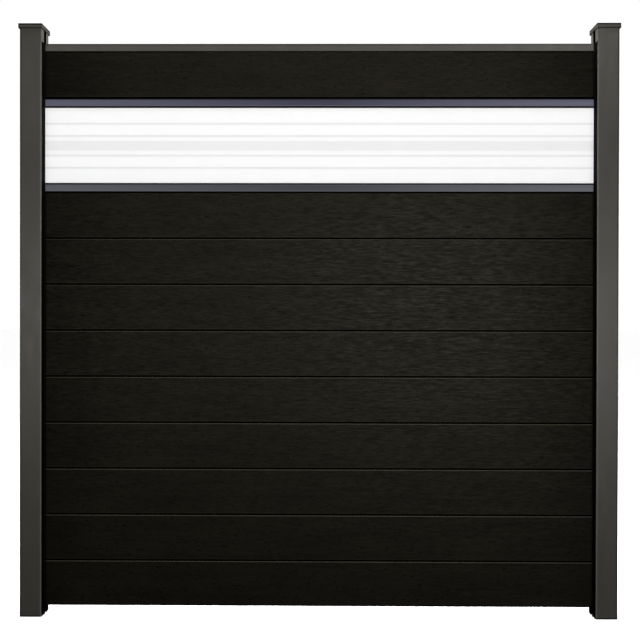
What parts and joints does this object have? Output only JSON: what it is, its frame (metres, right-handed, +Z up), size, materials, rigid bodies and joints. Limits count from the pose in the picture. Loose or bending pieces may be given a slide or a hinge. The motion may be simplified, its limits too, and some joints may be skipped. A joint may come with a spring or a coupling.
{
  "type": "privacy fence panel with posts",
  "caption": "Privacy fence bay: stacked dark composite boards and a striped satin glass insert between two grooved, capped aluminium posts.",
  "frame": {"origin": "middle of the left post's foot, on the plane of its cut end", "axes": "+X along the fence from the left post to the right one, +Y from the front face to the back, +Z up along the posts"},
  "size_m": [1.94, 0.078, 1.918],
  "materials": {
    "post_aluminium": "matte",
    "cap_aluminium": "matte",
    "rail_aluminium": "matte",
    "insert_aluminium": "satin",
    "composite_board": "matte",
    "gasket_rubber": "matte",
    "spacer_plastic": "matte",
    "satin_glass": "matte"
  },
  "bodies": {
    "root": {"left_post": "post_aluminium", "right_post": "post_aluminium", "left_post_cap": "cap_aluminium", "right_post_cap": "cap_aluminium", "left_board_spacer": "spacer_plastic", "right_board_spacer": "spacer_plastic", "top_rail": "rail_aluminium", "top_board": "composite_board", "insert_upper_rail": "insert_aluminium", "insert_lower_rail": "insert_aluminium", "upper_glass_gasket": "gasket_rubber", "lower_glass_gasket": "gasket_rubber", "glass_pane": "satin_glass", "left_front_seal": "gasket_rubber", "left_back_seal": "gasket_rubber", "right_front_seal": "gasket_rubber", "right_back_seal": "gasket_rubber", "board_1": "composite_board", "board_2": "composite_board", "board_3": "composite_board", "board_4": "composite_board", "board_5": "composite_board", "board_6": "composite_board", "board_7": "composite_board", "board_8": "composite_board", "board_9": "composite_board"}
  },
  "joints": []
}
